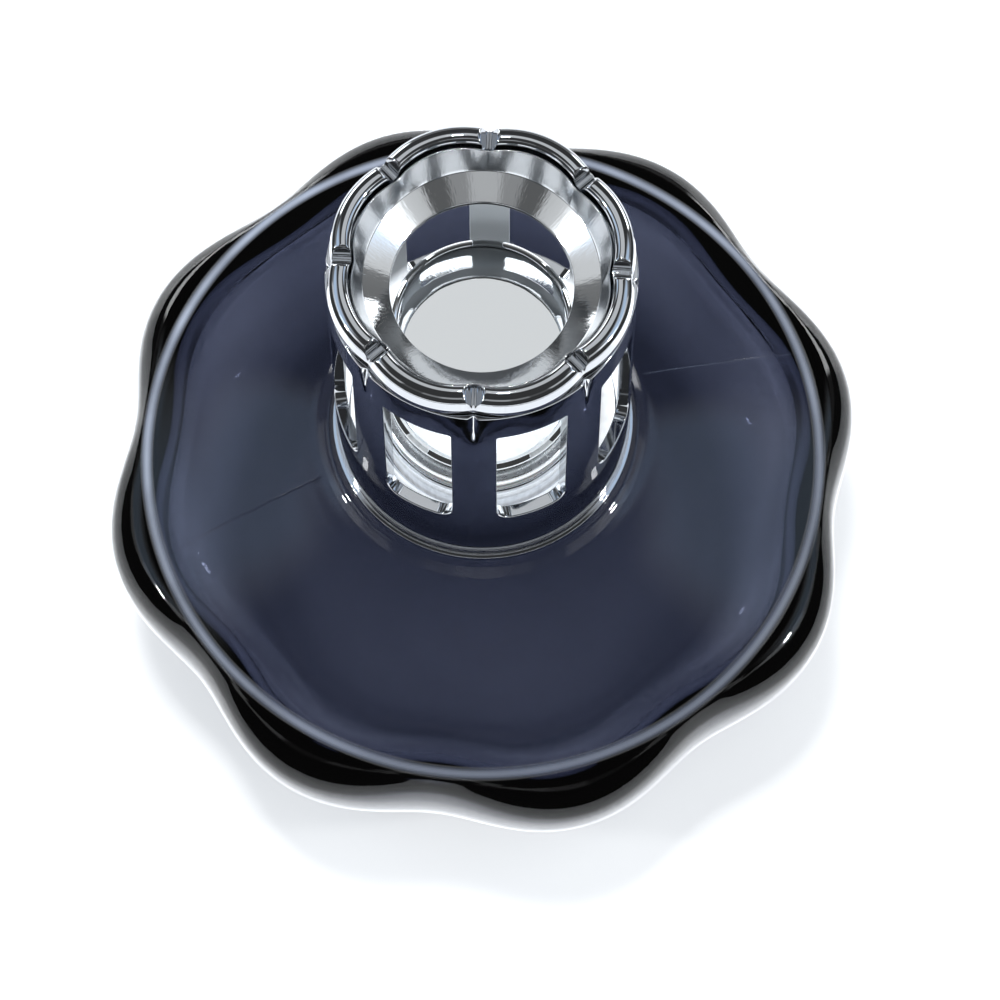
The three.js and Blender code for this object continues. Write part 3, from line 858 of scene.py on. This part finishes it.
def crown_bezel(mat):
    """Rounded rim. It draws in at each notch, and each notch is a scoop with a fine rib along it."""
    top, foot = CROWN_TOP, BEZEL_FOOT
    crest, outer, inner = BEZEL_RADIUS - 1.5, 1.83, 0.8
    steps = 20
    lip = [(crest + outer * math.sin(math.radians(a)), top - outer * (1 - math.cos(math.radians(a))), 0)
           for a in (55 - 55 * k / steps for k in range(steps))]
    lip += [(crest - inner * math.sin(math.radians(a)), top - inner * (1 - math.cos(math.radians(a))), 0)
            for a in (90 * k / steps for k in range(steps + 1))]
    edge = lip[0][1]
    outline = rounded([(BEZEL_BORE, foot, 0.2), (SHELL_RADIUS + 0.05, foot, 0.08),
                       (SHELL_RADIUS + 0.08, foot + 1.0, 0.5), (BEZEL_RADIUS - 0.02, edge - 0.25, 0.1),
                       (BEZEL_RADIUS, edge - 0.06, 0.04), *lip], 8)
    depth, half_width, steepness = 1.7, 1.15, 9
    rib_height, rib_half = 0.5, 0.16

    def shape(r, z, angle):
        out = r - SCALLOP * (1 - petal(angle - HALF_SECTOR, 0.997))
        off = (angle + HALF_SECTOR) % (TAU / LOBES) - HALF_SECTOR
        along = abs(off) * out
        floor = top - depth * max(1 - (along / half_width) ** 2, 0)
        floor += steepness * max(along - half_width, 0)
        rib = top - depth + rib_height * max(1 - along / rib_half, 0)
        level = max(floor, rib)
        return out * math.cos(angle), out * math.sin(angle), min(z, max(level, foot + 0.4))

    piece = turned("notched_rim", outline, notch_angles(64, 0.86), shape)
    return finish_piece(piece, mat, "crown", "crown_metal", "crown_bezel")


def crown_funnel(mat):
    """A cone down to the throat under a steep upper band, on a flange in the top of the tube."""
    flange, foot, top = span("crown_funnel")
    throat_r, wall = 11.15, 0.8
    throat_z = foot + wall
    seam_r, seam_z = FUNNEL_SEAM
    rim_r, rim_z = BEZEL_BORE - GAP, top
    flange_top = SHELL_TOP - GAP
    outline = rounded([(throat_r, foot, 0.15), (throat_r + 2.0, foot + 1.1, 0.2), (flange, foot + 1.1, 0.1),
                       (flange, flange_top, 0.1), (rim_r, flange_top, 0.1), (rim_r, rim_z, 0.1),
                       (rim_r - 0.2, rim_z, 0.1), (seam_r, seam_z, 0.3), (throat_r, throat_z, 0.2)], 5)

    def shape(r, z, angle):
        share = min(max((z - seam_z) / (rim_z - seam_z), 0), 1) if r < rim_r + 0.1 else 0
        out = r - SCALLOP * share * (1 - petal(angle - HALF_SECTOR, 0.997))
        return out * math.cos(angle), out * math.sin(angle), z

    piece = turned("funnel", outline, notch_angles(40, 0.6), shape)
    return finish_piece(piece, mat, "crown", "funnel_metal", "crown_funnel")


# ---- stage ---------------------------------------------------------------------------

TABLE_RADIUS = 0.55           # in metres, like everything on the stage
TABLE_SIDES = 96
TABLE_DROP = 0.00005          # keeps the table just clear of the bottle's foot


def make_floor(mat):
    level = CAD_BOUNDS[0].z - TABLE_DROP
    angles = even_angles(TABLE_SIDES)
    ring = [(TABLE_RADIUS * math.cos(a), TABLE_RADIUS * math.sin(a), level) for a in angles]
    mesh = bpy.data.meshes.new("floor")
    mesh.from_pydata(ring, [], [list(range(TABLE_SIDES))])
    floor = bpy.data.objects.new("floor", mesh)
    bpy.context.scene.collection.objects.link(floor)
    mesh.materials.append(mat)


LAMP_AIM = Vector((0, 0, 0.04))
SPOT_AIM = Vector((0, 0, 0.07))
LAMP_SIDE, LAMP_FRONT, LAMP_HEIGHT = 0.90, -0.19, 0.60


def place_light(name, data, place, aim):
    light = bpy.data.objects.new(name, data)
    bpy.context.scene.collection.objects.link(light)
    light.location = place
    light.rotation_mode = "QUATERNION"
    light.rotation_quaternion = (aim - Vector(place)).to_track_quat("-Z", "Y")
    return light


def area_light(name, place, size, power, mirrored=False):
    """A soft light, which doesn't show in plating or through glass unless it is mirrored."""
    data = bpy.data.lights.new(name, "AREA")
    data.shape = "RECTANGLE"
    data.size, data.size_y = size
    data.energy = power
    light = place_light(name, data, place, LAMP_AIM)
    light.visible_glossy = mirrored
    light.visible_transmission = mirrored


# Soft panels round the studio, from the back (0) to the front (1): how bright, and how high up
# their middles are, in degrees. Both sides of the studio are alike.
PANEL_LEVELS = [(0.0, 0.2), (0.13, 0.2), (0.15, 5.0), (0.28, 5.0), (0.29, 0.1), (0.38, 0.15), (0.39, 0.6),
                (0.50, 0.6), (0.51, 1.2), (0.62, 1.2), (0.64, 0.6), (0.72, 0.5), (0.735, 0.06),
                (0.83, 0.06), (0.84, 0.22), (0.915, 0.22), (0.94, 0.4), (1.0, 0.4)]
PANEL_MIDDLES = [(0.0, 4), (0.144, 5), (0.28, 13), (0.38, 21), (0.5, 29), (0.62, 36), (0.72, 40),
                 (0.83, 43), (1, 45)]
PANEL_HALF = 6                # half the height of a panel, in degrees
BOX_LEVEL = 0.68              # soft box overhead
SIDE_LEVEL = 0.9              # bluish glow at the sides
DARK_LEVEL = 0.05             # the studio between them
BACKGROUND_LEVEL = 0.93       # what the camera sees behind the object


def curve(world, value, stops):
    """A grey ramp through [place, level] stops, whose levels may be over 1."""
    return ramp(world, value, [(place, (level, level, level)) for place, level in stops])


def make_world():
    """A dark studio with soft panels round the walls, a soft box overhead and a bluish glow at the
    sides. The camera itself sees a pale background in every direction."""
    world = bpy.data.worlds.new("studio")
    bpy.context.scene.world = world
    world.use_nodes = True
    background = world.node_tree.nodes["Background"]

    def times(one, other):
        return maths(world, "MULTIPLY", one, other)

    def fade(value, dark, full):
        """0 where value is at dark or past it, 1 at full or past it."""
        return remap(world, value, dark, full, soft=True)

    place = node(world, "ShaderNodeTexCoord")
    split = node(world, "ShaderNodeSeparateXYZ")
    link(world, place.outputs["Generated"], split.inputs[0])
    x, y, z = split.outputs
    aside = maths(world, "ABSOLUTE", x)
    round_wall = maths(world, "DIVIDE", maths(world, "ARCTAN2", aside, y), math.pi)
    height = times(maths(world, "ARCSINE", z), math.degrees(1))

    middle = times(curve(world, round_wall, [(at, up / 90) for at, up in PANEL_MIDDLES]), 90)
    off_middle = maths(world, "ABSOLUTE", maths(world, "SUBTRACT", height, middle))
    panels = times(curve(world, round_wall, PANEL_LEVELS), fade(off_middle, PANEL_HALF + 1, PANEL_HALF - 1))
    box = times(fade(aside, 0.34, 0.30), fade(y, 0.10, 0.16))
    box = times(times(box, fade(y, 0.62, 0.56)), fade(z, 0.1, 0.2))
    side = times(fade(round_wall, 0.27, 0.33), fade(round_wall, 0.62, 0.5))
    side = times(side, times(fade(height, 22, 34), fade(height, 58, 44)))
    level = maths(world, "ADD", times(box, BOX_LEVEL), times(side, SIDE_LEVEL))
    level = maths(world, "ADD", panels, level)

    from_camera = node(world, "ShaderNodeLightPath").outputs["Is Camera Ray"]
    seen = mixed(world, from_camera, maths(world, "ADD", level, DARK_LEVEL), BACKGROUND_LEVEL)
    link(world, seen, background.inputs["Strength"])
    tint = node(world, "ShaderNodeMix", data_type="RGBA")
    plain, blue = [socket for socket in tint.inputs if socket.type == "RGBA"]
    plain.default_value = (0.965, 0.985, 1.0, 1)
    blue.default_value = (0.62, 0.78, 1.0, 1)
    link(world, times(side, maths(world, "SUBTRACT", 1.0, from_camera)), tint.inputs["Factor"])
    tinted = [socket for socket in tint.outputs if socket.type == "RGBA"][0]
    link(world, tinted, background.inputs["Color"])


def crown_spot(name, place, power):
    """A narrow beam from above, aimed at the crown."""
    data = bpy.data.lights.new(name, "SPOT")
    data.energy = power
    data.spot_size = math.radians(2.0)
    data.spot_blend = 0.3
    data.shadow_soft_size = 0.02
    place_light(name, data, place, SPOT_AIM)


def make_lights():
    area_light("overhead", (-0.12, 0.12, 1.5), (0.22, 0.22), 11)
    area_light("fill", (0.3, -0.5, 1.3), (0.9, 0.9), 4)
    for name, side in (("left", -1), ("right", 1)):
        place = (LAMP_SIDE * side, LAMP_FRONT, LAMP_HEIGHT)
        area_light("lamp_" + name, place, (0.07, 0.07), 2.0, mirrored=True)
    crown_spot("crown_spot", (0, 0.24, 1.3), 12)


# ---- build ---------------------------------------------------------------------------

def build():
    make_camera()
    wick(cotton_with_painted_glow_material())

    chrome = chrome_material()
    mirror = chrome_material("bright_chrome", (0.015, 0.03), (0.9, 0.92, 0.93))
    inside = inside_with_painted_glow_material()
    brass = brass_material()
    silicone = silicone_material()

    glass_bottle(glass_material())
    neck_collar(chrome)
    burner_gasket(silicone)
    burner_ferrule(satin_chrome_material())
    burner_stone(stone_material())
    catalyst_ring(catalyst_material())
    burner_core(brass)
    wick_sleeve(brass)
    snuffer_shell(mirror)
    snuffer_liner(plastic_material())
    snuffer_seal(silicone)
    crown_band(chrome)
    crown_guide(inside)
    crown_shell(chrome, inside)
    crown_bezel(chrome)
    crown_funnel(grained_chrome_material())

    make_floor(floor_material())
    make_world()
    make_lights()

    scene = bpy.context.scene
    scene.view_settings.view_transform = "Standard"
    scene.cycles.use_denoising = True
    scene.cycles.max_bounces = 24
    scene.cycles.transmission_bounces = 20
    scene.cycles.glossy_bounces = 8


build()
